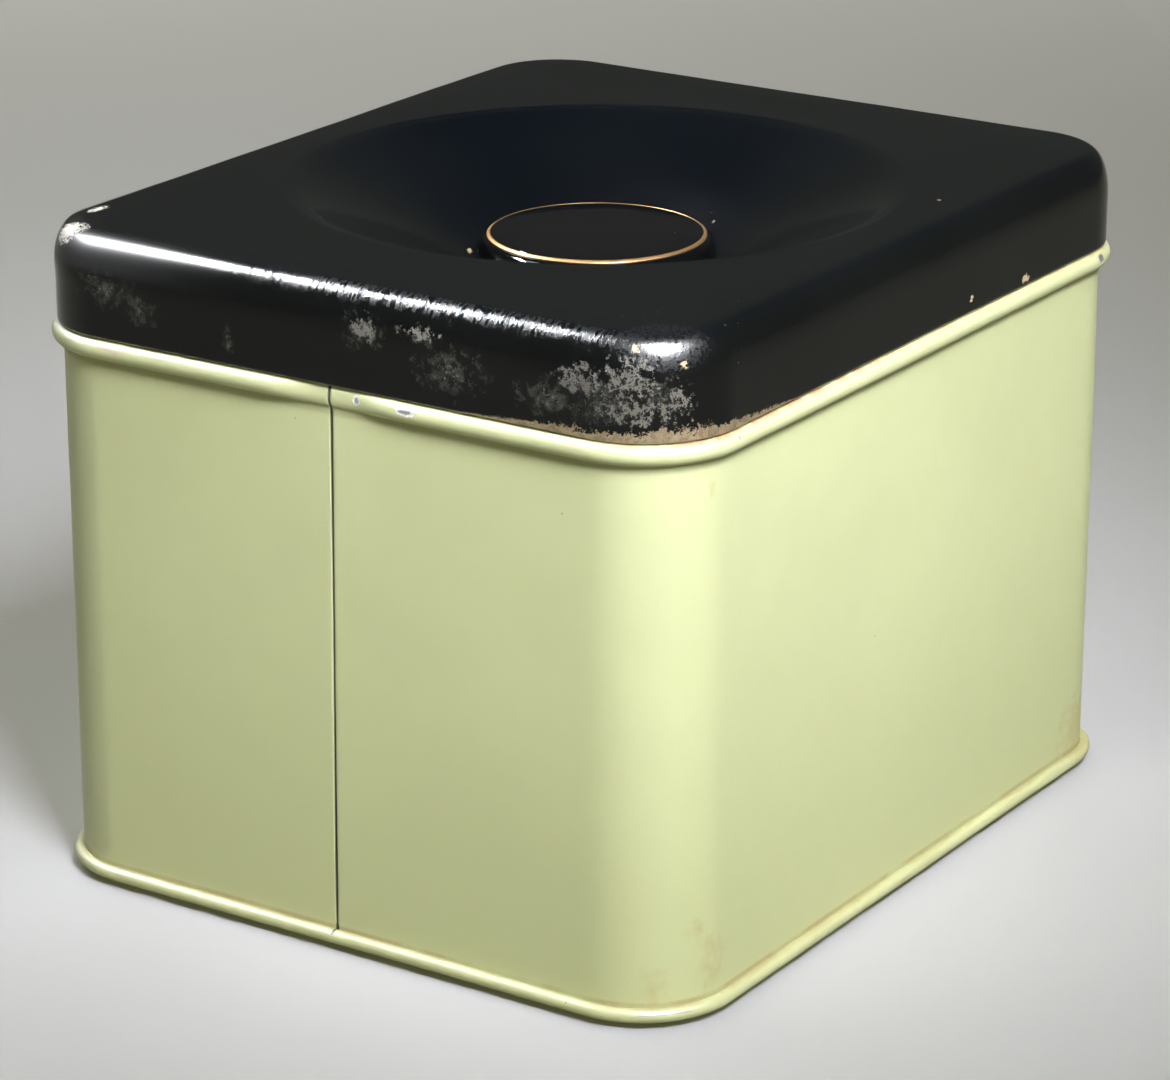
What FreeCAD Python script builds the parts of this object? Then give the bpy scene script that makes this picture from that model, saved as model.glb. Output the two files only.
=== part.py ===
import FreeCAD, Part

import math
import os

from FreeCAD import Vector

# Tea caddy of pressed tinplate: a wrapped body with a rolled stop bead, a base curled on to
# its foot, and a slip lid whose knob stands in a round dish pressed into the lid's top.
# Millimetres. Origin: centre of the footprint, on the surface that the caddy stands on.
# +Z is up, and the side seam is on the -Y face.
#
# Sections that follow the rounded-square plan are drawn as (out, z): out is the distance
# outwards from the body wall's outer face. Turned sections are drawn as (radius, z).

# Body
SHEET = 0.3
HALF_X = 66.2
HALF_Y = 78.6
CORNER = 16.1
NECK_TOP = 115.0
NECK_CURL = 1.2
CURL_END_ANGLE = 235.0
BEAD_Z = 99.9
BEAD_RADIUS = 1.8
BEAD_CENTRE_OUT = 0.2
BEAD_FILLET = 0.5
SEAM_X = -1.2
SEAM_GROOVE_WIDTH = 0.4
SEAM_GROOVE_DEPTH = 0.2
SEAM_FOLD_WIDTH = 6.0
SEAM_FOLD_DEPTH = 0.9

# Base
ROLL_Z = 2.45
ROLL_CENTRE_OUT = 0.6
ROLL_GAP = 0.05
ROLL_END_ANGLE = 115.0
HOOK_END_ANGLE = 15.0
FOOT_OUTER = -2.2
FOOT_INNER = -6.2
FOOT_SLOPE_RUN = 1.2
PANEL_OUT = -8.4
PANEL_EDGE_OUT = -10.0
PANEL_Z = 1.6

# Lid
LID_BOTTOM = 102.0
LID_TOP = 119.4
LID_OUT = 1.1
HEM_HEIGHT = 3.8
EDGE_RUN = 3.5
EDGE_RISE = 8.0
SHOULDER_OUT = -8.4
SHOULDER_DROP = 0.5

# Dish in the lid, as (radius, depth below the lid's top)
DISH_PROFILE = (
    (55.4, 0.0),
    (54.5, 0.16),
    (52.0, 0.8),
    (46.0, 3.4),
    (38.0, 7.2),
    (34.0, 9.4),
    (30.0, 11.9),
    (26.0, 14.5),
    (23.0, 16.3),
    (20.5, 17.0),
)
DISH_DEPTH = 17.0

# Knob and its fixing
KNOB_TOP = 110.0
KNOB_FOOT_RADIUS = 19.0
KNOB_RADIUS = 21.2
KNOB_WIDEST_Z = 106.9
BAND_OUTER = 19.6
BAND_INNER = 19.0
BAND_DROP = 0.3
BAND_THICKNESS = 0.25
INSERT_RADIUS = 3.5
INSERT_LENGTH = 5.5
INSERT_GROOVE_DEPTH = 0.35
INSERT_GROOVE_HEIGHT = 0.9
INSERT_GROOVE_PLACES = (0.3, 0.7)
POCKET_SPARE = 0.1
SCREW_RADIUS = 2.0
THREAD_GAP = 0.05
SCREW_TIP_SPARE = 0.5
WASHER_RADIUS = 6.0
WASHER_THICKNESS = 0.8
HOLE_GAP = 0.2
HEAD_RADIUS = 3.8
HEAD_HEIGHT = 2.4
HEAD_ROUNDING = 1.0
SLOT_WIDTH = 1.0
SLOT_DEPTH = 1.1

UP = Vector(0, 0, 1)
ORIGIN = Vector(0, 0, 0)
FULL_TURN = 360.0
QUARTER_TURN = 90.0


def at(out, z):
    return Vector(out, 0, z)


def line(start, end):
    return Part.LineSegment(at(*start), at(*end)).toShape()


def path(*points):
    """Straight edges through (out, z) points."""
    return [line(start, end) for start, end in zip(points, points[1:])]


def on_circle(centre, radius, angle):
    turn = math.radians(angle)
    return (centre[0] + radius * math.cos(turn), centre[1] + radius * math.sin(turn))


def arc(centre, radius, start_angle, end_angle):
    """Arc about an (out, z) centre, by angles in degrees from the outward direction."""
    angles = (start_angle, (start_angle + end_angle) / 2, end_angle)
    return Part.Arc(*[at(*on_circle(centre, radius, angle)) for angle in angles]).toShape()


def strip_end(centre, outer, inner, start_angle, end_angle):
    """Curved end of a sheet: its outer face, its cut edge and its inner face."""
    return [
        arc(centre, outer, start_angle, end_angle),
        line(on_circle(centre, outer, end_angle), on_circle(centre, inner, end_angle)),
        arc(centre, inner, end_angle, start_angle),
    ]


def edge_curve(centre, run, rise):
    """Quarter ellipse from the skirt's side up to the lid's shoulder."""
    side = at(centre[0] + run, centre[1])
    top = at(centre[0], centre[1] + rise)
    ellipse = Part.Ellipse(top, side, at(*centre))
    halfway = at(centre[0] + run * math.sqrt(0.5), centre[1] + rise * math.sqrt(0.5))
    ends = [ellipse.parameter(side), ellipse.parameter(top)]
    for first, last in (ends, ends[::-1]):
        span = (last - first) % (2 * math.pi)
        if ellipse.value(first + span / 2).distanceToPoint(halfway) < min(run, rise) / 2:
            return Part.Edge(ellipse, first, first + span)
    raise ValueError("no quarter of the ellipse passes the lid's edge")


def face(edges):
    return Part.Face(Part.Wire(Part.__sortEdges__(edges)))


def turned(edges):
    """Solid of revolution about the caddy's upright axis."""
    return face(edges).revolve(ORIGIN, UP, FULL_TURN)


def around_plan(edges):
    """Runs an (out, z) section right round the rounded-square plan."""
    section = face(edges)
    run_x = HALF_X - CORNER
    run_y = HALF_Y - CORNER
    section.translate(Vector(CORNER, 0, 0))
    corner = section.revolve(ORIGIN, UP, QUARTER_TURN)
    centres = ((run_x, run_y), (-run_x, run_y), (-run_x, -run_y), (run_x, -run_y))
    pieces = []
    for index, centre in enumerate(centres):
        turn = QUARTER_TURN * index
        centre = Vector(*centre, 0)
        bend = corner.copy()
        bend.rotate(ORIGIN, UP, turn)
        bend.translate(centre)
        length = 2 * (run_x if index % 2 == 0 else run_y)
        direction = math.radians(turn + 2 * QUARTER_TURN)
        side = section.copy()
        side.rotate(ORIGIN, UP, turn + QUARTER_TURN)
        side.translate(centre)
        pieces.append(bend)
        pieces.append(side.extrude(Vector(math.cos(direction), math.sin(direction), 0) * length))
    return pieces[0].multiFuse(pieces[1:]).removeSplitter()


def plan_plate(out, z, thickness):
    """Flat plate with the caddy's rounded-square plan, its edge at the given out."""
    half_x = HALF_X + out
    half_y = HALF_Y + out
    plate = Part.makeBox(2 * half_x, 2 * half_y, thickness, Vector(-half_x, -half_y, z))
    upright = [edge for edge in plate.Edges if abs(edge.tangentAt(edge.FirstParameter).z) > 0.9]
    return plate.makeFillet(CORNER + out, upright)


def rod(radius, bottom, top):
    return Part.makeCylinder(radius, top - bottom, Vector(0, 0, bottom))


def bead_side(sheet_out, bead_radius, fillet_radius):
    """One face of the stop bead, from below it to above it, with fillets into the wall."""
    centre = (BEAD_CENTRE_OUT, BEAD_Z)
    reach = bead_radius + fillet_radius
    inset = sheet_out + fillet_radius - BEAD_CENTRE_OUT
    rise = math.sqrt(reach ** 2 - inset ** 2)
    angle = math.degrees(math.atan2(rise, inset))
    low = (sheet_out + fillet_radius, BEAD_Z - rise)
    high = (sheet_out + fillet_radius, BEAD_Z + rise)
    edges = [
        arc(low, fillet_radius, 180.0, 180.0 - angle),
        arc(centre, bead_radius, -angle, angle),
        arc(high, fillet_radius, 180.0 + angle, 180.0),
    ]
    return edges, (sheet_out, low[1]), (sheet_out, high[1])


def make_body_wrap():
    """One sheet bent round the plan, its ends hooked together in a seam on the -Y face."""
    curl = (-NECK_CURL, NECK_TOP - NECK_CURL)
    hook = (ROLL_CENTRE_OUT, ROLL_Z)
    hook_outer = ROLL_CENTRE_OUT + SHEET
    hook_inner = ROLL_CENTRE_OUT
    outer_bead, outer_low, outer_high = bead_side(0.0, BEAD_RADIUS, BEAD_FILLET)
    inner_bead, inner_low, inner_high = bead_side(-SHEET, BEAD_RADIUS - SHEET, BEAD_FILLET + SHEET)
    edges = [
        *strip_end(hook, hook_outer, hook_inner, -180.0, HOOK_END_ANGLE),
        line((0.0, ROLL_Z), outer_low),
        line(outer_high, (0.0, curl[1])),
        *strip_end(curl, NECK_CURL, NECK_CURL - SHEET, 0.0, CURL_END_ANGLE),
        line((-SHEET, curl[1]), inner_high),
        line(inner_low, (-SHEET, ROLL_Z)),
    ]
    wrap = around_plan(edges + outer_bead + inner_bead)
    seam_bottom = ROLL_Z + ROLL_CENTRE_OUT
    fold_corner = Vector(SEAM_X - SEAM_FOLD_WIDTH / 2, -HALF_Y + SHEET, seam_bottom)
    fold = Part.makeBox(SEAM_FOLD_WIDTH, SEAM_FOLD_DEPTH, inner_low[1] - seam_bottom, fold_corner)
    groove_corner = Vector(SEAM_X - SEAM_GROOVE_WIDTH / 2, -HALF_Y - SHEET, seam_bottom)
    groove_depth = SHEET + SEAM_GROOVE_DEPTH
    groove = Part.makeBox(SEAM_GROOVE_WIDTH, groove_depth, outer_low[1] - seam_bottom, groove_corner)
    return wrap.fuse(fold).cut(groove).removeSplitter()


def make_base_panel():
    """Pressed base with a foot ring, its edge curled up round the body's hooked flange."""
    roll = (ROLL_CENTRE_OUT, ROLL_Z)
    inner = ROLL_CENTRE_OUT + SHEET + ROLL_GAP
    outer = inner + SHEET
    shelf = ROLL_Z - outer
    underside = (
        (ROLL_CENTRE_OUT, shelf),
        (FOOT_OUTER + FOOT_SLOPE_RUN, shelf),
        (FOOT_OUTER, 0.0),
        (FOOT_INNER, 0.0),
        (PANEL_OUT, PANEL_Z),
        (PANEL_EDGE_OUT, PANEL_Z),
    )
    upside = [(out, z + SHEET) for out, z in reversed(underside)]
    edges = [
        *path(*underside, *upside),
        *strip_end(roll, outer, inner, -QUARTER_TURN, ROLL_END_ANGLE),
    ]
    return around_plan(edges).fuse(plan_plate(PANEL_EDGE_OUT, PANEL_Z, SHEET)).removeSplitter()


def make_dish():
    """Round dish that is pressed into the lid, with a flat floor for the knob."""
    top = [at(radius, LID_TOP - depth) for radius, depth in DISH_PROFILE]
    flat = Vector(-1, 0, 0)
    curve = Part.BSplineCurve()
    curve.interpolate(Points=top, InitialTangent=flat, FinalTangent=flat)
    upper = curve.toShape()
    lower = upper.copy()
    lower.translate(Vector(0, 0, -SHEET))
    rim_radius = DISH_PROFILE[0][0]
    floor_radius = DISH_PROFILE[-1][0]
    floor = LID_TOP - DISH_DEPTH
    edges = [
        upper,
        lower,
        line((rim_radius, LID_TOP), (rim_radius, LID_TOP - SHEET)),
        *path((floor_radius, floor), (0.0, floor), (0.0, floor - SHEET), (floor_radius, floor - SHEET)),
    ]
    return turned(edges)


def make_lid_shell():
    """Drawn lid: hemmed skirt, rounded edge, shallow shoulder and dished top."""
    edge_bottom = LID_TOP - SHOULDER_DROP - EDGE_RISE
    edge_centre = (LID_OUT - EDGE_RUN, edge_bottom)
    shoulder_out = edge_centre[0]
    inner_out = LID_OUT - SHEET
    hem_out = LID_OUT - 2 * SHEET
    hem_centre = (LID_OUT - SHEET, LID_BOTTOM + SHEET)
    hem_top = LID_BOTTOM + HEM_HEIGHT
    edges = [
        arc(hem_centre, SHEET, -180.0, 0.0),
        line((LID_OUT, hem_centre[1]), (LID_OUT, edge_bottom)),
        edge_curve(edge_centre, EDGE_RUN, EDGE_RISE),
        *path(
            (shoulder_out, edge_bottom + EDGE_RISE),
            (SHOULDER_OUT, LID_TOP),
            (SHOULDER_OUT, LID_TOP - SHEET),
            (shoulder_out, edge_bottom + EDGE_RISE - SHEET),
        ),
        edge_curve(edge_centre, EDGE_RUN - SHEET, EDGE_RISE - SHEET),
        *path(
            (inner_out, edge_bottom),
            (inner_out, hem_top),
            (hem_out, hem_top - SHEET),
            (hem_out, hem_centre[1]),
        ),
    ]
    top = plan_plate(SHOULDER_OUT, LID_TOP - SHEET, SHEET)
    top = top.cut(rod(DISH_PROFILE[0][0], LID_TOP - 2 * SHEET, LID_TOP + SHEET))
    shell = around_plan(edges).multiFuse([top, make_dish()]).removeSplitter()
    floor = LID_TOP - DISH_DEPTH
    return shell.cut(rod(SCREW_RADIUS + HOLE_GAP, floor - 2 * SHEET, floor + SHEET))


def band_section():
    """Corners of the gilt band on the knob's bevel, as (radius, z)."""
    return (
        (BAND_INNER, KNOB_TOP),
        (BAND_OUTER, KNOB_TOP - BAND_DROP),
        (BAND_OUTER, KNOB_TOP - BAND_DROP - BAND_THICKNESS),
        (BAND_INNER, KNOB_TOP - BAND_THICKNESS),
    )


def make_knob():
    """Moulded button with rounded sides, a bevel for the band and a pocket for the insert."""
    floor = LID_TOP - DISH_DEPTH
    pocket_top = floor + INSERT_LENGTH + POCKET_SPARE
    inner_top, outer_top, outer_low, inner_low = band_section()
    side = Part.Arc(at(KNOB_FOOT_RADIUS, floor), at(KNOB_RADIUS, KNOB_WIDEST_Z), at(*outer_low)).toShape()
    outline = path(
        outer_low,
        inner_low,
        inner_top,
        (0.0, KNOB_TOP),
        (0.0, pocket_top),
        (INSERT_RADIUS, pocket_top),
        (INSERT_RADIUS, floor),
        (KNOB_FOOT_RADIUS, floor),
    )
    return turned([side, *outline])


def make_gilt_band():
    corners = band_section()
    return turned(path(*corners, corners[0]))


def make_insert():
    """Brass bush moulded into the knob, with two retaining grooves and a threaded bore."""
    floor = LID_TOP - DISH_DEPTH
    insert = rod(INSERT_RADIUS, floor, floor + INSERT_LENGTH)
    for share in INSERT_GROOVE_PLACES:
        middle = floor + INSERT_LENGTH * share
        low = middle - INSERT_GROOVE_HEIGHT / 2
        high = middle + INSERT_GROOVE_HEIGHT / 2
        groove = rod(INSERT_RADIUS, low, high).cut(rod(INSERT_RADIUS - INSERT_GROOVE_DEPTH, low, high))
        insert = insert.cut(groove)
    return insert.cut(rod(SCREW_RADIUS + THREAD_GAP, floor, floor + INSERT_LENGTH))


def make_washer():
    top = LID_TOP - DISH_DEPTH - SHEET
    bottom = top - WASHER_THICKNESS
    return rod(WASHER_RADIUS, bottom, top).cut(rod(SCREW_RADIUS + HOLE_GAP, bottom, top))


def make_screw():
    """Slotted pan-head screw that comes up from inside the lid."""
    floor = LID_TOP - DISH_DEPTH
    head_top = floor - SHEET - WASHER_THICKNESS
    head_bottom = head_top - HEAD_HEIGHT
    head = rod(HEAD_RADIUS, head_bottom, head_top)
    rim = [edge for edge in head.Edges if edge.BoundBox.ZMax < head_bottom + HEAD_ROUNDING]
    head = head.makeFillet(HEAD_ROUNDING, rim)
    slot_corner = Vector(-HEAD_RADIUS, -SLOT_WIDTH / 2, head_bottom)
    slot = Part.makeBox(2 * HEAD_RADIUS, SLOT_WIDTH, SLOT_DEPTH, slot_corner)
    shank = rod(SCREW_RADIUS, head_top, floor + INSERT_LENGTH - SCREW_TIP_SPARE)
    return head.cut(slot).fuse(shank)


PIECES = {
    "body_wrap": make_body_wrap,
    "base_panel": make_base_panel,
    "lid_shell": make_lid_shell,
    "knob": make_knob,
    "knob_gilt_band": make_gilt_band,
    "knob_insert": make_insert,
    "knob_washer": make_washer,
    "knob_screw": make_screw,
}

os.makedirs("parts", exist_ok=True)
for name, make in PIECES.items():
    shape = make()
    if not shape.isValid() or len(shape.Solids) != 1:
        raise ValueError(f"{name} is not one valid solid")
    shape.Solids[0].exportStep(f"parts/{name}.step")
    print(name, round(shape.Volume), "cubic mm")
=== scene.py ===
import math

import bmesh
import bpy
from mathutils import Matrix, Vector, noise


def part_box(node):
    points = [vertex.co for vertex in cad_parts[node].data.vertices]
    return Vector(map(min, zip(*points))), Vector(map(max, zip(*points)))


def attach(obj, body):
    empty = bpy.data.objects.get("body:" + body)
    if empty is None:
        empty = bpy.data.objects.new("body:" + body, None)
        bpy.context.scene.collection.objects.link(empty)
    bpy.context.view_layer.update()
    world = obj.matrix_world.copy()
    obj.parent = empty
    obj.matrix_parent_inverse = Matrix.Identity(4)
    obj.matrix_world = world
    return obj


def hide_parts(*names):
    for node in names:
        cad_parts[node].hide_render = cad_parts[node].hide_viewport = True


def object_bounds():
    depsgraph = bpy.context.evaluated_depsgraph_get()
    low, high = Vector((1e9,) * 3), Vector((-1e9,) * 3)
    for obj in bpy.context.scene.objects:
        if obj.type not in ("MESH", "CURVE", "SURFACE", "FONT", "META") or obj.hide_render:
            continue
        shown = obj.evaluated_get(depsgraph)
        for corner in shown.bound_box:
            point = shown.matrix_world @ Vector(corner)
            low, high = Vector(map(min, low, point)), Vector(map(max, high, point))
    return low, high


# Looks of the tea caddy: an enamelled tin with a rolled bead and a curled base rim, and a black
# lid with a knob in its dish. Shapes and paint are in millimetres, lights, floor and camera in
# metres. Colours are linear red, green and blue.
# Sections that follow the rounded-square plan are drawn as (out, z): out is the distance outwards
# from the body wall. Turned sections are drawn as (radius, z).

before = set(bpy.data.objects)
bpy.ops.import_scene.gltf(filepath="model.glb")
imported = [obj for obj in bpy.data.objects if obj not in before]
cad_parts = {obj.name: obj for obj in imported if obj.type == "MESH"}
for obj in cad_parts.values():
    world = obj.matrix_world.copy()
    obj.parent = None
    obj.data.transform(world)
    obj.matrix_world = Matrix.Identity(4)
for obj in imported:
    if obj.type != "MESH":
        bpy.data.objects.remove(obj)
CAD_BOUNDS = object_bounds()
noise.seed_set(1)  # mathutils seeds its vector noise from the clock unless it is told otherwise
MM = 0.001
JOIN_WITHIN = 0.004 * MM
ON_AXIS = 0.001


def box_mm(node):
    low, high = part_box(node)
    return low / MM, high / MM


# Sheet and plan
SHEET = 0.3
CORNER = 16.1
SIDE_STEPS = 44
CORNER_STEPS = 24
BEAD_PROUD = 2.0
WRAP_TOP = box_mm("body_wrap")[1]
HALF_X = WRAP_TOP.x - BEAD_PROUD
HALF_Y = WRAP_TOP.y - BEAD_PROUD

# Body
BEAD_Z = 99.9
BEAD_RADIUS = 1.8
BEAD_CENTRE_OUT = 0.2
BEAD_FILLET = 0.5
NECK_CURL = 1.2
NECK_CURL_END = 235
SEAM_X_TOP = -0.9
SEAM_X_BOTTOM = -1.8
SEAM_BOTTOM = 3.6
SEAM_LEAN = (SEAM_X_TOP - SEAM_X_BOTTOM) / (BEAD_Z - SEAM_BOTTOM)
SEAM_X_FOOT = SEAM_X_BOTTOM - SEAM_LEAN * SEAM_BOTTOM
SEAM_GROOVE = 0.42
SEAM_LAP = 0.12
SEAM_FOLD = 0.9
SEAM_FOLD_HALF = 3.0
SEAM_MIDDLE = (SEAM_X_TOP + SEAM_X_BOTTOM) / 2
SEAM_STEPS = (0.16, 0.3, 0.45, 0.8, 1.6, 2.8, 3.2, 4.5, 6.0)
SEAM_STOPS = (*[-step for step in SEAM_STEPS[::-1]], 0.0, *SEAM_STEPS)
SEAM_REACH = SEAM_STEPS[-1] + 1
BEAD_AT_SEAM = 0.35

# Base
ROLL_Z = 2.45
ROLL_OUT = 0.6
ROLL_GAP = 0.05
ROLL_END = 115
ROLL_HOOK_END = 15
BASE_LINE = ((-1.0, 1.2), (-2.2, 0.0), (-6.2, 0.0), (-8.4, 1.6), (-10.0, 1.6))

# Lid
LID_LOW, LID_HIGH = box_mm("lid_shell")
LID_OUT = 1.1
LID_TOP = LID_HIGH.z
LID_BOTTOM = LID_LOW.z
HEM_HEIGHT = 3.8
EDGE_RUN = 3.5
EDGE_RISE = 8.0
SHOULDER_OUT = -8.4
SHOULDER_DROP = 0.5
CORNER_FULLER = 0.35
CORNER_LIFT = 0.35
BROW_START = 50.0
BROW_END = 88.0
BROW_RADIUS = 3.6
DISH = (
    (55.4, 0.0),
    (54.5, 0.16),
    (52.0, 0.8),
    (46.0, 3.4),
    (38.0, 7.2),
    (34.0, 9.4),
    (30.0, 11.9),
    (26.0, 14.5),
    (23.0, 16.3),
    (20.5, 17.0),
)
DISH_FLOOR = LID_TOP - DISH[-1][1]
SCREW_HOLE = 2.2

# Knob
KNOB_LOW, KNOB_HIGH = box_mm("knob")
BAND_HIGH = box_mm("knob_gilt_band")[1]
KNOB_RADIUS = KNOB_HIGH.x
KNOB_FOOT = 19.0
BAND_OUTER = BAND_HIGH.x
BAND_WIDTH = 0.6
BAND_DROP = 0.3
BAND_THICKNESS = 0.25
KNOB_STEPS = 180

# Colours of the green enamel, of what is on it or under it, and of its painted shade
GREEN = (0.568, 0.605, 0.318)
GREEN_MOTTLE = (0.58, 0.58, 0.27)
# painted shade: the green that the walls darken to towards the bottom, in place of the key light's
# fall-off
GREEN_PAINTED_SHADE = (0.487, 0.515, 0.255)
GREEN_FOOT = (0.47, 0.45, 0.19)
GRIME_BROWN = (0.34, 0.22, 0.07)
# painted shadow: the dark olive of the band under the bead
BEAD_SHADOW_OLIVE = (0.20, 0.20, 0.08)
STAIN_BROWN = (0.42, 0.33, 0.12)
SPECK_BROWN = (0.16, 0.13, 0.06)
RUST = (0.50, 0.20, 0.08)
RUST_DARK = (0.24, 0.14, 0.05)
RUB_PINK = (0.58, 0.36, 0.36)
SEAM_DARK = (0.025, 0.028, 0.014)
PRIMER_WHITE = (0.80, 0.80, 0.76)
CHIP_GREY = (0.56, 0.53, 0.55)
CHIP_DARK = (0.36, 0.34, 0.37)

# Colours of the black enamel, and of what is on it or under it
BLACK = (0.0028, 0.0032, 0.0030)
HAZE_GREY = (0.13, 0.13, 0.11)
GRIT_GREY = (0.20, 0.20, 0.17)
HALO_GREY = (0.22, 0.22, 0.20)
STEEL_DARK = (0.105, 0.098, 0.075)
STEEL_LIGHT = (0.155, 0.143, 0.113)
HEM_LIGHT = (0.38, 0.295, 0.175)
HEM_DARK = (0.20, 0.15, 0.085)
PRIMER_CREAM = (0.72, 0.69, 0.60)
PRIMER_TAN = (0.50, 0.36, 0.20)
DUST = (0.42, 0.40, 0.34)

# Colours of the knob, the bare metals and the floor
PLASTIC_DARK = (0.002, 0.002, 0.002)
PLASTIC_LIGHT = (0.004, 0.004, 0.004)
DUST_DIM = (0.35, 0.33, 0.28)
GILT_LIGHT = (0.40, 0.235, 0.095)
GILT_DARK = (0.31, 0.18, 0.07)
GILT_GONE = (0.05, 0.035, 0.02)
TIN_LIGHT = (0.40, 0.39, 0.36)
TIN_DARK = (0.31, 0.295, 0.25)
TIN_BLOOM = (0.22, 0.17, 0.11)
BRASS_LIGHT = (0.72, 0.52, 0.22)
BRASS_DARK = (0.45, 0.30, 0.12)
PLATE_LIGHT = (0.60, 0.59, 0.56)
PLATE_DARK = (0.38, 0.33, 0.26)
PLATE_SPOT = (0.30, 0.14, 0.06)
FLOOR_DARK = (0.43, 0.43, 0.42)
FLOOR_LIGHT = (0.47, 0.47, 0.46)

# Wear of the body, and the painted shadow under the bead: heights, then places as (middle),
# (reach along each axis), and for some the two levels that a ragged patch is cut between
RIM_LINE = 4.0
# height of the painted shadow that the bead casts on the wall below it
BEAD_SHADOW_Z = 97.4
FOOT_STAINS = (
    ((65.0, -69.0, 16.5), (4, 4, 3.5), (0.25, 1.1)),
    ((65.9, -65.7, 9.5), (4, 5, 9), (0.20, 1.1)),
    ((60.5, -74.8, 7.0), (6, 6, 6), (0.25, 1.3)),
    ((65.8, -66.5, 93.4), (3, 2.4, 3.2), (0.40, 1.1)),
    ((65.8, 67.0, 7.0), (5, 12, 12), (0.05, 0.8)),
)
BEAD_CHIPS = (
    ((4.9, -79.3, 100.4), (0.9, 1.5, 0.9)),
    ((15.4, -80.3, 100.6), (2.3, 2.0, 0.95)),
    ((68.0, -62.3, 101.0), (1.0, 1.0, 0.8)),
)
END_CHIP = ((67.9, 63.5, 100.4), (1.2, 1.8, 1.2))
PINK_RUB = ((-46.0, -80.3, 100.5), (6.5, 2.5, 1.0))

# Wear of the lid: thin grey haze where the skirt's enamel is rubbed through, bare flakes in a
# lace-like patch near the corner and to its left, cream chips on the far left corner and tan ones
HEM_WORN_TO = 102.3
SKIRT_HAZES = (
    ((-47.0, -79.5, 111.0), (12, 4, 5)),
    ((-40.0, -79.5, 108.5), (5, 4, 5)),
    ((-21.2, -79.5, 106.0), (1.8, 3, 6)),
    ((6.5, -79.5, 112.5), (7, 4, 5)),
    ((18.0, -79.5, 113.5), (6, 4, 3)),
    ((23.5, -79.5, 108.5), (11, 4, 7)),
    ((43.0, -79.5, 107.5), (10, 4, 6)),
    ((53.0, -79.0, 108.5), (14, 6, 9)),
    ((61.0, -75.5, 109.0), (7, 6, 7)),
)
SKIRT_FLAKES = (
    ((57.5, -77.8, 112.3), (7.5, 5, 5.6)),
    ((48.5, -79.5, 111.5), (6.0, 4, 3.6)),
    ((58.5, -77.3, 107.0), (9.0, 6, 4.5)),
    ((6.1, -79.5, 112.8), (4.0, 4, 3.0)),
    ((17.5, -79.4, 114.0), (5.5, 4, 1.6)),
    ((63.5, -73.0, 109.0), (3.0, 3.5, 4.5)),
)
CREAM_CHIPS = (
    ((-58.6, -74.6, 118.4), (4.6, 3.4, 3.4), (0.22, 0.50)),
    ((-61.5, -63.6, 119.1), (1.6, 3.4, 1.6), (0.35, 0.55)),
)
CREAM_HALO = ((-59.5, -73.0, 117.5), (7.5, 7.0, 5.0))
TAN_CHIPS = (
    ((-27.3, -44.9, 119.3), (0.9, 0.9, 0.8)),
    ((67.3, 15.7, 104.4), (0.9, 0.9, 1.0)),
    ((67.3, 35.6, 103.3), (0.9, 1.9, 1.1)),
    ((57.3, 21.1, 119.4), (0.5, 0.5, 0.4)),
    ((57.3, -76.5, 117.4), (1.2, 1.0, 1.0)),
    ((63.6, -72.2, 114.8), (0.9, 1.1, 0.9)),
    ((-23.9, -5.5, 103.8), (1.2, 1.3, 0.9)),
    ((5.6, 28.8, 107.9), (0.8, 0.9, 0.7)),
    ((7.3, 27.2, 107.0), (0.9, 0.9, 0.8)),
)

# Lights and floor, in metres
WHITE = (1.0, 1.0, 1.0)
COOL = (0.97, 0.98, 1.0)
COOL_CORNER = (0.96, 0.98, 1.0)
BLUE = (0.66, 0.83, 1.0)
KEY_TINT = (1.0, 1.0, 1.12)
KEY_AIM = (0.066, -0.043, 0.147)
KEY_SPREAD = 42
NEAR_CORNER = (0.0618, -0.075, 0.1175)
CORNER_MIRRORS = (0.580, -0.3545, 0.732)
FRONT_EDGE = (-0.045, -0.078, 0.118)
EDGE_MIDDLE = (0.0, -0.078, 0.118)
CADDY_MIDDLE = (0.0, 0.0, 0.06)
MIRRORED_LOW = (0.066, 0.070, 0.065)
MIRRORED_HIGH = (0.006, 0.030, 0.085)
ROOM_LIGHT = (0.270, 0.265, 0.185)
FLOOR_HALF = 4.0

# Camera: angles in degrees, places in metres
CAMERA_AZIMUTH = 33.33
CAMERA_ELEVATION = 19.52
CAMERA_ROLL = 0.02
CAMERA_DISTANCE = 0.80593
CAMERA_SIDE = -0.00211
CAMERA_AIM_Z = 0.05169
CAMERA_LENS = 136.17
CAMERA_SENSOR = 36.0


# ---------------------------------------------------------------- sections


def smoothstep(value, low, high):
    """0 up to low and 1 from high on, with an even ease between them."""
    t = min(max((value - low) / (high - low), 0.0), 1.0)
    return t * t * (3 - 2 * t)


def arc(centre, radius, start, end, steps):
    """Points of an arc about an (out, z) centre, by angles in degrees, ends included."""
    angles = [math.radians(start + (end - start) * k / steps) for k in range(steps + 1)]
    return [(centre[0] + radius * math.cos(a), centre[1] + radius * math.sin(a)) for a in angles]


def straight(start, end, steps):
    """Points from start up to but not including end."""
    return [
        (start[0] + (end[0] - start[0]) * k / steps, start[1] + (end[1] - start[1]) * k / steps)
        for k in range(steps)
    ]


def lid_edge(centre, run, rise, steps):
    """From the skirt's side up an ellipse, then over a rounder brow to the shoulder."""
    last = math.atan(math.tan(math.radians(BROW_START)) * rise / run)
    angles = [last * k / steps for k in range(steps + 1)]
    side = [(centre[0] + run * math.cos(a), centre[1] + rise * math.sin(a)) for a in angles]
    turn = math.radians(BROW_START)
    brow = (side[-1][0] - BROW_RADIUS * math.cos(turn), side[-1][1] - BROW_RADIUS * math.sin(turn))
    return side + arc(brow, BROW_RADIUS, BROW_START, BROW_END, steps)[1:]


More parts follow.
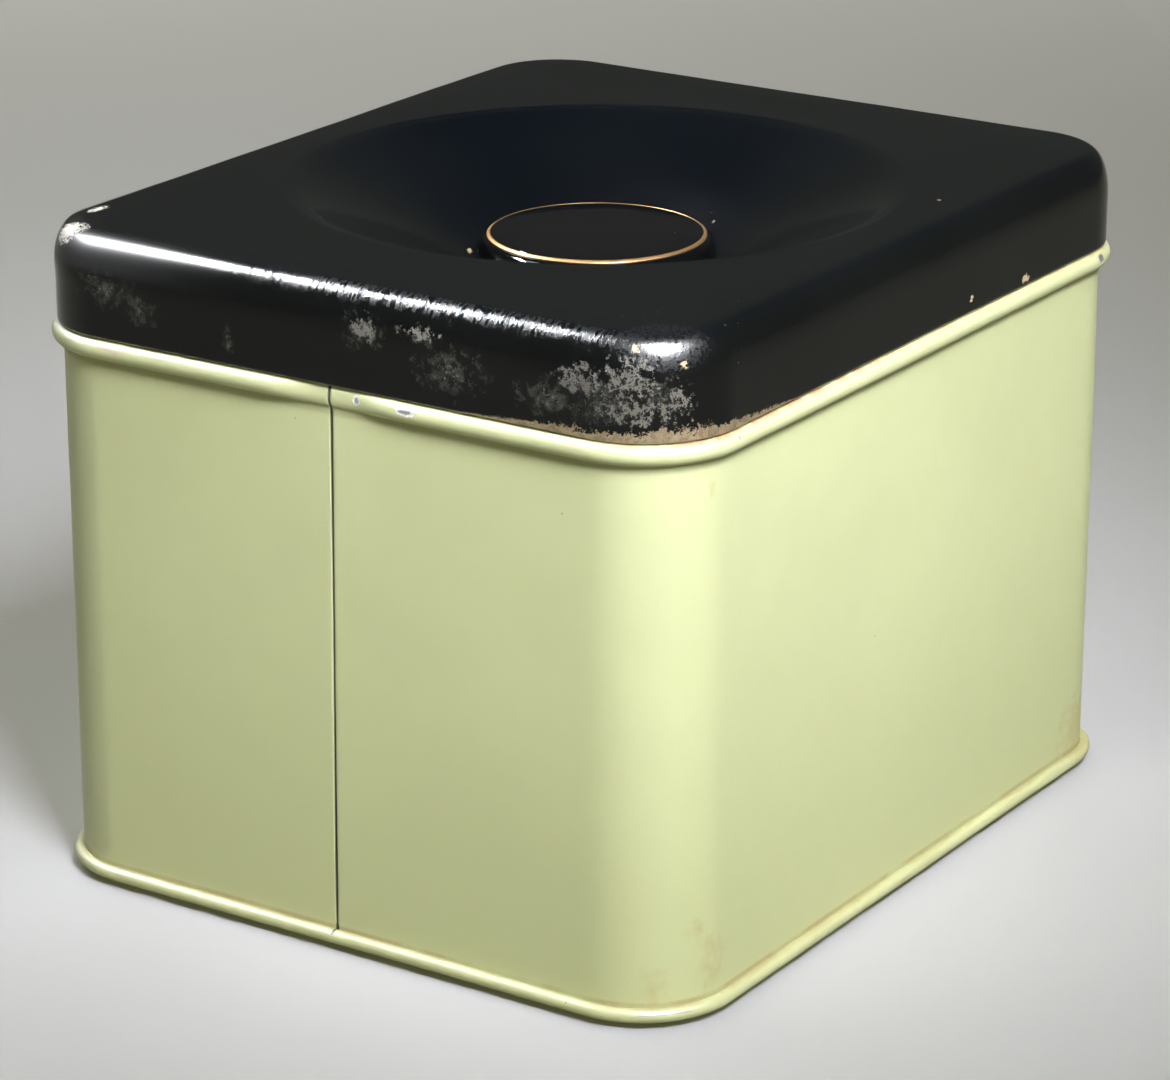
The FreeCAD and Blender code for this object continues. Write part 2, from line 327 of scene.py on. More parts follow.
def bead_side(wall_out, bead_radius, fillet_radius):
    """One face of the stop bead, from below it to above it."""
    reach = bead_radius + fillet_radius
    inset = wall_out + fillet_radius - BEAD_CENTRE_OUT
    rise = math.sqrt(reach ** 2 - inset ** 2)
    angle = math.degrees(math.atan2(rise, inset))
    low = (wall_out + fillet_radius, BEAD_Z - rise)
    high = (wall_out + fillet_radius, BEAD_Z + rise)
    return (
        arc(low, fillet_radius, 180, 180 - angle, 5)
        + arc((BEAD_CENTRE_OUT, BEAD_Z), bead_radius, -angle, angle, 20)[1:-1]
        + arc(high, fillet_radius, 180 + angle, 180, 5)
    )


def smooth_line(points, steps):
    """Catmull-Rom curve through points, level at both ends."""
    before = (2 * points[0][0] - points[1][0], points[0][1])
    after = (2 * points[-1][0] - points[-2][0], points[-1][1])
    padded = [Vector(p) for p in (before, *points, after)]
    curve = []
    for a, b, c, d in zip(padded, padded[1:], padded[2:], padded[3:]):
        for k in range(steps):
            t = k / steps
            bend = (2 * a - 5 * b + 4 * c - d) * t ** 2 + (3 * b - a - 3 * c + d) * t ** 3
            curve.append(0.5 * (2 * b + (c - a) * t + bend))
    return [tuple(p) for p in curve] + [points[-1]]


# ---------------------------------------------------------------- plan and meshes


def side_stops(run, steps, extra):
    """Places along a straight side, between its corners, with extra ones kept clear of the rest."""
    even = [run * (2 * k / steps - 1) for k in range(1, steps)]
    clear = [s for s in even if all(abs(s - e) > 1.5 for e in extra)]
    return sorted(clear + list(extra))


def plan_columns():
    """Points on the body wall and their outward normals, anticlockwise from the -Y side."""
    run_x = HALF_X - CORNER
    run_y = HALF_Y - CORNER
    seam = [SEAM_MIDDLE + stop for stop in SEAM_STOPS]
    sides = ((Vector((0, -1)), run_x, run_y, seam), (Vector((1, 0)), run_y, run_x, []))
    sides += ((Vector((0, 1)), run_x, run_y, []), (Vector((-1, 0)), run_y, run_x, []))
    columns = []
    for normal, run, depth, extra in sides:
        along = Vector((-normal.y, normal.x))
        for stop in side_stops(run, SIDE_STEPS, extra):
            columns.append((normal * (depth + CORNER) + along * stop, normal))
        for k in range(CORNER_STEPS + 1):
            turn = math.pi / 2 * k / CORNER_STEPS
            direction = normal * math.cos(turn) + along * math.sin(turn)
            columns.append((normal * depth + along * run + direction * CORNER, direction))
    return columns


COLUMNS = plan_columns()


def make_mesh(name, verts, faces):
    """Object from points in millimetres, with doubled points joined and normals outwards."""
    mesh = bpy.data.meshes.new(name)
    mesh.from_pydata([Vector(v) * MM for v in verts], [], faces)
    piece = bpy.data.objects.new(name, mesh)
    bpy.context.scene.collection.objects.link(piece)
    work = bmesh.new()
    work.from_mesh(mesh)
    bmesh.ops.remove_doubles(work, verts=work.verts, dist=JOIN_WITHIN)
    loose = [edge for edge in work.edges if not edge.link_faces]
    bmesh.ops.delete(work, geom=loose, context="EDGES")
    bmesh.ops.recalc_face_normals(work, faces=work.faces)
    work.to_mesh(mesh)
    work.free()
    for polygon in mesh.polygons:
        polygon.use_smooth = True
    return piece


def loop_mesh(name, column_points):
    """Closed skin through columns of points: each column is a closed section."""
    rows = len(column_points[0])
    count = len(column_points)
    verts = [p for column in column_points for p in column]
    faces = []
    for c in range(count):
        ahead = (c + 1) % count
        for r in range(rows):
            above = (r + 1) % rows
            faces.append((c * rows + r, ahead * rows + r, ahead * rows + above, c * rows + above))
    return make_mesh(name, verts, faces)


def turned_mesh(name, section, steps):
    """Closed solid of revolution: its section is a ring, or starts and ends beside the axis."""
    columns = []
    for k in range(steps):
        turn = 2 * math.pi * k / steps
        columns.append([Vector((r * math.cos(turn), r * math.sin(turn), z)) for r, z in section])
    return loop_mesh(name, columns)


def waver(point, size, amount, seed):
    """Smooth wandering of a pressed sheet, the same on both its faces."""
    return noise.noise_vector(point / size + Vector((seed, seed, seed))) * amount


def kept_in_box(points):
    """Keeps a wavering skin inside the box that the design gives."""
    low, high = CAD_BOUNDS
    for p in points:
        for axis in range(3):
            p[axis] = min(max(p[axis], low[axis] / MM), high[axis] / MM)


# ---------------------------------------------------------------- body


def seam_x(z):
    """The seam leans a little, so its place along the side depends on the height."""
    return SEAM_X_FOOT + SEAM_LEAN * z


def bead_strength(distance):
    """How far the bead is rolled out, by distance to the right of the seam."""
    away = smoothstep(distance, 2.0, 17.0) if distance > 0 else smoothstep(-distance, 2.0, 12.0)
    return BEAD_AT_SEAM + (1 - BEAD_AT_SEAM) * away


def body_section():
    """The sheet's closed section as (out, z, outer face or not, bead or not)."""
    roll = (ROLL_OUT, ROLL_Z)
    curl = (-NECK_CURL, WRAP_TOP.z - NECK_CURL)
    outer_bead = bead_side(0.0, BEAD_RADIUS, BEAD_FILLET)
    inner_bead = bead_side(-SHEET, BEAD_RADIUS - SHEET, BEAD_FILLET + SHEET)[::-1]
    parts = (
        (straight((0.0, ROLL_Z), outer_bead[0], 40), True, False),
        (outer_bead, True, True),
        (straight(outer_bead[-1], (0.0, curl[1]), 6)[1:], True, False),
        (arc(curl, NECK_CURL, 0, NECK_CURL_END, 16), True, False),
        (arc(curl, NECK_CURL - SHEET, NECK_CURL_END, 0, 14), False, False),
        (straight((-SHEET, curl[1]), inner_bead[0], 6)[1:], False, False),
        (inner_bead, False, True),
        (straight(inner_bead[-1], (-SHEET, ROLL_Z), 40)[1:], False, False),
        (arc(roll, ROLL_OUT + SHEET, -180, ROLL_HOOK_END, 16), False, False),
        (arc(roll, ROLL_OUT, ROLL_HOOK_END, -180, 14)[:-1], False, False),
    )
    return [(out, z, outer, bead) for points, outer, bead in parts for out, z in points]


def seam_ease(distance):
    """1 over the seam's folds, falling to 0 where the seam stops moving the wall's columns."""
    return 1 - smoothstep(distance, 3.2, SEAM_REACH)


def seam_relief(distance):
    """Height of the outer face beside the seam: a narrow groove, and the lap to its right."""
    groove = SEAM_GROOVE * (1 - smoothstep(abs(distance), 0.12, 0.36))
    lap = SEAM_LAP * smoothstep(distance, 0.0, 0.4) * (1 - smoothstep(distance, 2.0, 6.0))
    return lap - groove


def seam_fold(distance):
    """Depth of the folded edges on the inner face."""
    side = smoothstep(abs(distance), SEAM_FOLD_HALF - SHEET, SEAM_FOLD_HALF + SHEET)
    return SEAM_FOLD * (1 - side)


def make_body_wrap():
    """The bent sheet, with its bead, its curled neck, its hook in the rim and its side seam."""
    section = body_section()
    columns = []
    for wall, normal in COLUMNS:
        front = normal.y < -0.999
        distance = wall.x - SEAM_MIDDLE
        by_seam = front and abs(distance) < SEAM_REACH
        strength = bead_strength(distance) if front else 1.0
        column = []
        for out, z, outer, bead in section:
            if bead:
                rest = 0.0 if outer else -SHEET
                out = rest + (out - rest) * strength
            shift = 0.0
            if by_seam and z > SEAM_BOTTOM:
                shift = (seam_x(z) - SEAM_MIDDLE) * seam_ease(abs(distance))
                if outer and z < WRAP_TOP.z - NECK_CURL:
                    out += seam_relief(distance)
                elif not outer and z < BEAD_Z - BEAD_RADIUS - 1 and out < 0:
                    out -= seam_fold(distance)
            point = Vector((wall.x + normal.x * out + shift, wall.y + normal.y * out, z))
            point += waver(point, 55.0, 0.16, 3.1) * smoothstep(z, 3.0, 12.0)
            column.append(point)
        kept_in_box(column)
        columns.append(column)
    return loop_mesh("tin_body", columns)


def faces_in(centre, normal):
    """True for a face that looks towards the upright axis."""
    inward = -(centre.x * normal.x + centre.y * normal.y)
    return inward > 0.3 * math.hypot(centre.x, centre.y)


def wall_distance(centre):
    """How far out a place is from the straight sides of the body wall, negative inside it."""
    return max(abs(centre.x) - HALF_X, abs(centre.y) - HALF_Y)


def inside_tin(centre, normal):
    return faces_in(centre, normal) and centre.z > SEAM_BOTTOM - 0.6


def inside_base(centre, normal):
    return normal.z > 0.4 and wall_distance(centre) < -0.4 and centre.z < SEAM_BOTTOM - 0.6


def inside_lid(centre, normal):
    if normal.z < -0.3 and wall_distance(centre) < 0.5:
        return True
    return faces_in(centre, normal) and wall_distance(centre) > -3.5 and centre.z < LID_TOP - 0.5


def mark_inside(piece, inner_material, inside):
    """Gives the faces whose middle and normal satisfy inside() a second material."""
    piece.data.materials.append(inner_material)
    slot = len(piece.data.materials) - 1
    for polygon in piece.data.polygons:
        if inside(polygon.center / MM, polygon.normal):
            polygon.material_index = slot


# ---------------------------------------------------------------- base


def make_base_panel():
    """The pressed base: its rim curled round the sheet's hook, its foot ring and raised middle."""
    roll = (ROLL_OUT, ROLL_Z)
    inner = ROLL_OUT + SHEET + ROLL_GAP
    outer = inner + SHEET
    underside = [(ROLL_OUT, ROLL_Z - outer)]
    for start, end in zip(BASE_LINE, BASE_LINE[1:]):
        underside += straight(start, end, 4)
    underside.append(BASE_LINE[-1])
    upside = [(out, z + SHEET) for out, z in underside[::-1]]
    rim = arc(roll, inner, -90, ROLL_END, 18)[1:] + arc(roll, outer, ROLL_END, -90, 26)[:-1]
    plate_steps = 6
    inwards = [1 - k / plate_steps for k in range(1, plate_steps + 1)]
    plate_z = BASE_LINE[-1][1]
    columns = []
    for wall, normal in COLUMNS:
        edge = wall + normal * BASE_LINE[-1][0]
        column = [Vector((*(wall + normal * out), z)) for out, z in underside]
        column += [Vector((*edge * share, plate_z)) for share in inwards]
        column += [Vector((*edge * share, plate_z + SHEET)) for share in inwards[::-1]]
        column += [Vector((*(wall + normal * out), z)) for out, z in upside + rim]
        for point in column:
            if point.z > 0.5:
                point += waver(point, 40.0, 0.12, 7.7) * smoothstep(point.z, 0.5, 1.0)
        kept_in_box(column)
        columns.append(column)
    return loop_mesh("base_rim_and_panel", columns)


# ---------------------------------------------------------------- lid


def lid_rows():
    """The lid's rows: outer face on the plan, dish as (radius, z), inner face on the plan."""
    edge_bottom = LID_TOP - SHOULDER_DROP - EDGE_RISE
    centre = (LID_OUT - EDGE_RUN, edge_bottom)
    hem = (LID_OUT - SHEET, LID_BOTTOM + SHEET)
    dish = smooth_line([(r, LID_TOP - d) for r, d in DISH], 6)
    screw_hole = (SCREW_HOLE, DISH_FLOOR)
    floor = straight((DISH[-1][0], DISH_FLOOR), screw_hole, 6)[1:] + [screw_hole]
    outer = arc(hem, SHEET, -180, 0, 10)
    outer += straight((LID_OUT, hem[1]), (LID_OUT, edge_bottom), 14)[1:]
    outer += lid_edge(centre, EDGE_RUN, EDGE_RISE, 16)
    outer += straight(outer[-1], (SHOULDER_OUT, LID_TOP), 6)[1:] + [(SHOULDER_OUT, LID_TOP)]
    inner_edge = lid_edge(centre, EDGE_RUN - SHEET, EDGE_RISE - SHEET, 12)[::-1]
    inner = [(out, z - SHEET * 0.5) for out, z in inner_edge]
    hem_top = (LID_OUT - SHEET, LID_BOTTOM + HEM_HEIGHT)
    inner += straight((LID_OUT - SHEET, edge_bottom), hem_top, 6)[1:]
    inner += [hem_top, (hem_top[0] - SHEET, hem_top[1] - SHEET)]
    return outer, dish + floor, inner


def lid_uneven(point, normal, far_left):
    """Small hand-made errors of the lid: a fuller far left corner and a rippled edge."""
    radius = math.hypot(point.x, point.y)
    point += waver(point, 42.0, 0.14, 11.3) * smoothstep(radius, 24.0, 40.0)
    corner = 1 - smoothstep((point - far_left).length, 12.0, 62.0)
    brim = smoothstep(point.z, 109.0, 116.5) * (1 - smoothstep(point.z, 118.4, LID_TOP - 0.2))
    fuller = CORNER_FULLER * corner * brim * smoothstep(-normal.x, 0.0, 0.7)
    point += Vector((normal.x, normal.y, CORNER_LIFT)) * fuller
    edge = smoothstep(point.z, 109.0, 113.0) * smoothstep(radius, 58.0, 64.0)
    point += waver(point, 9.0, 0.035, 5.9) * edge


def make_lid_shell():
    """The drawn lid in one skin: hem, skirt, rounded edge, flat top, dish and inner face."""
    outer, dish, inner = lid_rows()
    flat_steps = 12
    far_left = Vector((-HALF_X, -HALF_Y, LID_TOP))
    columns = []
    for wall, normal in COLUMNS:
        shoulder = wall + normal * SHOULDER_OUT
        spoke = shoulder.normalized()
        rim = spoke * DISH[0][0]
        top = [(wall + normal * out, z) for out, z in outer]
        top += [(shoulder.lerp(rim, k / flat_steps), LID_TOP) for k in range(1, flat_steps)]
        top += [(spoke * radius, z) for radius, z in dish]
        under = [(place, z - SHEET) for place, z in top[len(outer):][::-1]]
        under += [(wall + normal * out, z) for out, z in inner]
        column = [Vector((place.x, place.y, z)) for place, z in top + under]
        for point in column:
            lid_uneven(point, normal, far_left)
        kept_in_box(column)
        columns.append(column)
    return loop_mesh("lid_cover", columns)


def make_knob():
    """Button with a flat top, a step for the gilt line, rounded sides and a pocket underneath."""
    bevel_top = KNOB_HIGH.z
    bevel_low = bevel_top - BAND_DROP
    band_inner = BAND_OUTER - BAND_WIDTH
    insert_high = box_mm("knob_insert")[1]
    pocket = (insert_high.x, insert_high.z + 0.1)
    foot = (KNOB_FOOT, KNOB_LOW.z)
    swell = (20.55, foot[1] + 2.2)
    widest = (KNOB_RADIUS, foot[1] + 4.4)
    brow = (20.6, bevel_low - 0.85)
    side = smooth_line([foot, swell, widest, brow, (BAND_OUTER, bevel_low - BAND_THICKNESS)], 8)
    section = [(ON_AXIS, bevel_top), (band_inner * 0.35, bevel_top), (band_inner * 0.7, bevel_top)]
    section += [(band_inner - 0.25, bevel_top), (band_inner, bevel_top - 0.03)]
    section += [(band_inner, bevel_top - BAND_THICKNESS)]
    section += side[::-1]
    section += [(pocket[0], foot[1]), pocket, (ON_AXIS, pocket[1])]
    return turned_mesh("knob_button", section, KNOB_STEPS)


def make_gilt_band():
    """The gilt line on the knob's bevel, sloping outwards."""
    top = BAND_HIGH.z
    inner = BAND_OUTER - BAND_WIDTH
    low = top - BAND_DROP
    section = [(inner, top - 0.02), (inner + 0.1, top)]
    section += [(inner + BAND_WIDTH * 0.5, top - BAND_DROP * 0.45), (BAND_OUTER - 0.08, low)]
    section += [(BAND_OUTER, low - 0.06), (BAND_OUTER, low - BAND_THICKNESS)]
    section += [(inner, top - BAND_THICKNESS)]
    return turned_mesh("knob_gilt_line", section, KNOB_STEPS)


# ---------------------------------------------------------------- materials


class Paint:
    """Node material whose coordinates are the piece's own, in millimetres.

    Masks are numbers from 0 to 1. A colour is a node's output or three linear numbers.
    """

    def __init__(self, name, **uniform):
        self.material = bpy.data.materials.new(name)
        self.material.use_nodes = True
        self.tree = self.material.node_tree
        self.shader = self.tree.nodes["Principled BSDF"]
        for socket, value in uniform.items():
            self.shader.inputs[socket.replace("_", " ")].default_value = value
        place = self.tree.nodes.new("ShaderNodeTexCoord").outputs["Object"]
        self.place = self.vector("SCALE", place, scale=1 / MM)
        split = self.tree.nodes.new("ShaderNodeSeparateXYZ")
        self.tree.links.new(self.place, split.inputs[0])
        self.x, self.y, self.z = split.outputs

    def put(self, value, socket):
        """Links a node's output to a socket, or sets a plain number or colour on it."""
        if isinstance(value, bpy.types.NodeSocket):
            self.tree.links.new(value, socket)
        elif hasattr(value, "__len__") and len(value) == 3 and socket.type == "RGBA":
            socket.default_value = (*value, 1.0)
        else:
            socket.default_value = value

    def vector(self, operation, first, second=None, scale=None):
        node = self.tree.nodes.new("ShaderNodeVectorMath")
        node.operation = operation
        self.put(first, node.inputs[0])
        if second is not None:
            self.put(second, node.inputs[1])
        if scale is not None:
            self.put(scale, node.inputs["Scale"])
        return node.outputs["Value" if operation == "LENGTH" else "Vector"]

    def maths(self, operation, *values, clamp=False):
        node = self.tree.nodes.new("ShaderNodeMath")
        node.operation = operation
        node.use_clamp = clamp
        for value, socket in zip(values, node.inputs):
            self.put(value, socket)
        return node.outputs[0]

    def plus(self, first, second):
        return self.maths("ADD", first, second)

    def minus(self, first, second):
        return self.maths("SUBTRACT", first, second)

    def size_of(self, value):
        return self.maths("ABSOLUTE", value)

    def times(self, *masks):
        total = masks[0]
        for mask in masks[1:]:
            total = self.maths("MULTIPLY", total, mask)
        return total

    def most(self, *masks):
        total = masks[0]
        for mask in masks[1:]:
            total = self.maths("MAXIMUM", total, mask)
        return total

    def noise(self, size, detail=3.0, rough=0.55, stretch=(1, 1, 1), seed=0.0):
        """Cloudy noise around 0.5, with features of a size in millimetres."""
        node = self.tree.nodes.new("ShaderNodeTexNoise")
        scaled = self.vector("MULTIPLY", self.place, tuple(1 / (size * s) for s in stretch))
        self.put(self.vector("ADD", scaled, (seed, seed * 0.7, -seed)), node.inputs["Vector"])
        node.inputs["Scale"].default_value = 1.0
        node.inputs["Detail"].default_value = detail
        node.inputs["Roughness"].default_value = rough
        return node.outputs["Fac"]

    def grain(self, noise_value, gain):
        """A noise moved to vary around 0, by a gain."""
        return self.times(self.minus(noise_value, 0.5), gain)

    def cells(self, size, seed):
        """Distance to the nearest of scattered points, in sizes, and a random colour for each."""
        node = self.tree.nodes.new("ShaderNodeTexVoronoi")
        scaled = self.vector("MULTIPLY", self.place, (1 / size, 1 / size, 1 / size))
        self.put(self.vector("ADD", scaled, (seed, -seed, seed * 0.3)), node.inputs["Vector"])
        node.inputs["Scale"].default_value = 1.0
        return node.outputs["Distance"], node.outputs["Color"]

    def specks(self, spacing, seed, radius, few):
        """Round specks: radius is where one ends and where it is full, few thins them out."""
        away, random = self.cells(spacing, seed)
        return self.times(self.fade(away, *radius), self.fade(random, *few))

    def fade(self, value, low, high):
        """0 below low and 1 above high, or the other way round if high is below low."""
        node = self.tree.nodes.new("ShaderNodeMapRange")
        node.interpolation_type = "SMOOTHSTEP"
        self.put(value, node.inputs["Value"])
        ends = (0.0, 1.0) if high > low else (1.0, 0.0)
        node.inputs["From Min"].default_value = min(low, high)
        node.inputs["From Max"].default_value = max(low, high)
        node.inputs["To Min"].default_value = ends[0]
        node.inputs["To Max"].default_value = ends[1]
        return node.outputs["Result"]

    def near(self, centre, reach):
        """1 at a place on the piece, falling to 0 at reach from it along each axis."""
        offset = self.vector("SUBTRACT", self.place, centre)
        away = self.vector("LENGTH", self.vector("DIVIDE", offset, reach))
        return self.maths("SUBTRACT", 1.0, away, clamp=True)

    def patch(self, centre, reach, grain, low, high):
        """Ragged patch: closeness to a place plus a grain, cut between two levels."""
        close = self.near(centre, reach)
        return self.times(self.fade(close, 0.0, 0.2), self.fade(self.plus(close, grain), low, high))

    def patches(self, places, grain, low, high):
        return self.most(*[self.patch(centre, reach, grain, low, high) for centre, reach in places])

    def blend(self, factor, first, second):
        """Colour that goes from first to second."""
        node = self.tree.nodes.new("ShaderNodeMix")
        node.data_type = "RGBA"
        self.put(factor, node.inputs[0])
        self.put(first, node.inputs[6])
        self.put(second, node.inputs[7])
        return node.outputs[2]

    def between(self, factor, first, second):
        """Number that goes from first to second."""
        node = self.tree.nodes.new("ShaderNodeMix")
        node.data_type = "FLOAT"
        self.put(factor, node.inputs[0])
        self.put(first, node.inputs[2])
        self.put(second, node.inputs[3])
        return node.outputs[0]

    def finish(self, colour, roughness, metallic=None, height=None):
        """Gives the shader its values: height is a bump in millimetres."""
        self.put(colour, self.shader.inputs["Base Color"])
        self.put(roughness, self.shader.inputs["Roughness"])
        if metallic is not None:
            self.put(metallic, self.shader.inputs["Metallic"])
        if height is not None:
            bump = self.tree.nodes.new("ShaderNodeBump")
            bump.inputs["Strength"].default_value = 1.0
            bump.inputs["Distance"].default_value = MM
            self.put(height, bump.inputs["Height"])
            self.tree.links.new(bump.outputs["Normal"], self.shader.inputs["Normal"])
        return self.material


def aged_and_shaded_green(paint, mottle):
    """Green enamel with age in it and painted shade towards the bottom, but no damage."""
    cloud = paint.noise(38.0, 3.0)
    colour = paint.blend(paint.fade(cloud, 0.35, 0.7), GREEN, tuple(c * 0.95 for c in GREEN))
    colour = paint.blend(paint.times(paint.fade(mottle, 0.55, 0.75), 0.2), colour, GREEN_MOTTLE)
    # yellowed a little towards the base rim
    low = paint.fade(paint.plus(paint.z, paint.times(mottle, 8.0)), 15.0, 6.0)
    colour = paint.blend(paint.times(low, 0.30), colour, GREEN_FOOT)
    # painted shade: the walls darken towards the bottom, where the key light falls off
    return paint.blend(paint.times(paint.fade(paint.z, 70.0, 5.0), 0.7), colour, GREEN_PAINTED_SHADE)


def rim_grime(paint):
    """Brown line where the base rim meets the wall."""
    creep = paint.fade(paint.size_of(paint.minus(paint.z, RIM_LINE)), 0.7, 0.1)
    return paint.times(creep, paint.fade(paint.noise(9.0, 4.0, seed=5.0), 0.30, 0.62))


def seat_rust(paint):
    """Rust where the lid sits on the bead, from the near corner along the right-hand side."""
    seat = paint.fade(paint.z, 101.0, 101.5)
    right = paint.most(
        paint.fade(paint.plus(paint.x, paint.times(paint.y, -0.25)), 70.0, 80.0),
        paint.times(paint.fade(paint.x, 60.0, 66.0), 0.9),
    )
    right = paint.times(right, paint.between(paint.fade(paint.y, -50.0, 30.0), 1.0, 0.35))
    return paint.times(seat, right, paint.fade(paint.noise(3.2, 5.0, seed=6.0), 0.32, 0.62))


def seam_marks(paint):
    """The seam's dark groove, and nicks beside it."""
    lean = paint.plus(paint.times(paint.z, SEAM_LEAN), SEAM_X_FOOT)
    from_seam = paint.size_of(paint.minus(paint.x, lean))
    front = paint.fade(paint.y, -77.9, -78.3)
    groove = paint.times(front, paint.fade(from_seam, 0.32, 0.16), paint.fade(paint.z, 3.0, 3.6))
    nick = paint.times(front, paint.fade(from_seam, 0.6, 0.2))
    return groove, paint.times(nick, paint.fade(paint.noise(1.6, 4.0, seed=12.0), 0.62, 0.69))


def green_enamel():
    paint = Paint("green_enamel", Specular_IOR_Level=0.5)
    mottle = paint.noise(4.5, 4.0, seed=3.0)
    peel = paint.noise(0.9, 2.0, seed=8.0)
    grain = paint.grain(paint.noise(2.4, 4.0, seed=1.0), 1.8)
    fine = paint.grain(paint.noise(0.8, 4.0, seed=2.0), 1.0)
    creep = rim_grime(paint)
    # painted shadow: a dark band just under the bead, where the bead shades the wall
    bead_shadow = paint.fade(paint.size_of(paint.minus(paint.z, BEAD_SHADOW_Z)), 1.2, 0.2)
    stain = paint.most(*[paint.patch(c, r, grain, *cut) for c, r, cut in FOOT_STAINS])
    rust = seat_rust(paint)
    groove, nick = seam_marks(paint)
    chips = paint.patches(BEAD_CHIPS, fine, 0.42, 0.50)
    ringed = [(centre, tuple(1.35 * v for v in reach)) for centre, reach in BEAD_CHIPS[:2]]
    ring = paint.patches(ringed, fine, 0.30, 0.40)
    end_chip = paint.patch(*END_CHIP, fine, 0.40, 0.5)
    rub = paint.patch(*PINK_RUB, grain, 0.35, 0.8)
    speck = paint.specks(11.0, 4.0, (0.020, 0.012), (0.5, 0.55))
    colour = aged_and_shaded_green(paint, mottle)
    layers = (
        (paint.times(creep, 0.55), GRIME_BROWN),
        # painted shadow under the bead
        (paint.times(bead_shadow, 0.35), BEAD_SHADOW_OLIVE),
        (paint.times(stain, 0.40), STAIN_BROWN),
        (paint.times(rust, 0.8), RUST),
        (groove, SEAM_DARK),
        (paint.times(nick, 0.6), RUST_DARK),
        (ring, PRIMER_WHITE),
        (chips, CHIP_GREY),
        (end_chip, CHIP_DARK),
        (paint.times(rub, 0.45), RUB_PINK),
        (paint.times(speck, 0.6), SPECK_BROWN),
    )
    for mask, over in layers:
        colour = paint.blend(mask, colour, over)
    metal = paint.times(paint.most(chips, end_chip), 0.85)
    rough = paint.between(paint.fade(mottle, 0.3, 0.7), 0.46, 0.54)
    rough = paint.between(paint.most(stain, rust, creep), rough, 0.62)
    rough = paint.between(chips, rough, 0.30)
    height = paint.plus(paint.times(peel, 0.022), paint.times(mottle, 0.02))
    height = paint.minus(height, paint.times(paint.most(ring, chips, end_chip), 0.05))
    return paint.finish(colour, rough, metal, height)


def tinplate():
    """Bare tinned steel: the inside of the tin and of the lid."""
    paint = Paint("tinplate", Metallic=1.0)
    cloud = paint.noise(22.0, 4.0)
    grain = paint.noise(1.4, 3.0, stretch=(1, 1, 14), seed=4.0)
    bloom = paint.noise(6.0, 5.0, seed=9.0)
    colour = paint.blend(paint.fade(cloud, 0.35, 0.7), TIN_LIGHT, TIN_DARK)
    colour = paint.blend(paint.times(paint.fade(bloom, 0.58, 0.72), 0.5), colour, TIN_BLOOM)
    rough = paint.between(grain, 0.24, 0.40)
    rough = paint.between(paint.fade(bloom, 0.55, 0.75), rough, 0.6)
    return paint.finish(colour, rough, None, paint.times(grain, 0.012))


def bare_flakes(paint, flake, fine, ragged):
    """Bare steel with lace-like holes in the enamel round it."""
    lace_grain = paint.size_of(paint.minus(paint.noise(1.7, 7.0, rough=0.7, seed=31.0), 0.5))
    vein = paint.fade(lace_grain, 0.060, 0.035)
    holes = paint.most(vein, paint.fade(fine, 0.57, 0.60), paint.fade(flake, 0.60, 0.62))
    return paint.times(paint.patches(SKIRT_FLAKES, ragged, 0.42, 0.70), holes)


def worn_hem(paint, flake, fine):
    """The skirt's lower edge worn to metal, highest round the near corner."""
    corner = paint.near((60.0, -72.0, 103.0), (36, 30, 30))
    reach = paint.plus(HEM_WORN_TO, paint.times(corner, 2.2))
    reach = paint.plus(reach, paint.times(paint.minus(flake, 0.5), corner, 10.0))
    reach = paint.plus(reach, paint.times(paint.minus(fine, 0.5), corner, 6.0))
    hem = paint.fade(paint.minus(reach, paint.z), -0.05, 0.35)
    side = paint.minus(paint.size_of(paint.y), HALF_Y - HALF_X)
    outside = paint.fade(paint.maths("MAXIMUM", paint.size_of(paint.x), side), 57.0, 58.0)
    return paint.times(hem, outside)


def front_edge_wear(paint, fine):
    """Masks of the lid's front edge: all of it, its combed scratches, and the near corner's glint."""
    front = paint.times(paint.fade(paint.y, -72.0, -76.0), paint.fade(paint.z, 111.5, 114.5))
    scratch = paint.noise(0.6, 5.0, rough=0.65, stretch=(1.0, 3.5, 3.5), seed=14.0)
    bites = paint.noise(2.6, 5.0, rough=0.65, stretch=(1.0, 1.0, 0.8), seed=17.0)
    low_side = paint.plus(paint.z, paint.grain(bites, 7.0))
    frost = paint.times(front, paint.fade(low_side, 116.1, 117.6), paint.fade(paint.x, -42.0, 0.0))
    frost = paint.times(frost, paint.fade(scratch, 0.45, 0.53))
    spot = paint.near((61.5, -73.5, 117.3), (12.0, 10.0, 5.0))
    glint = paint.times(paint.fade(spot, 0.0, 0.5), paint.fade(fine, 0.36, 0.6))
    frost = paint.most(frost, glint)
    return front, frost, glint, paint.times(frost, scratch, 0.02)


def lid_dust(paint):
    """Sparse dust, and more of it round the near corner."""
    dust = paint.specks(8.0, 1.5, (0.018, 0.010), (0.55, 0.6))
    near_dust = paint.specks(1.6, 7.5, (0.10, 0.05), (0.62, 0.66))
    dusty = paint.fade(paint.near((60.0, -66.0, 118.0), (16, 26, 14)), 0.0, 0.6)
    return paint.most(dust, paint.times(near_dust, dusty))


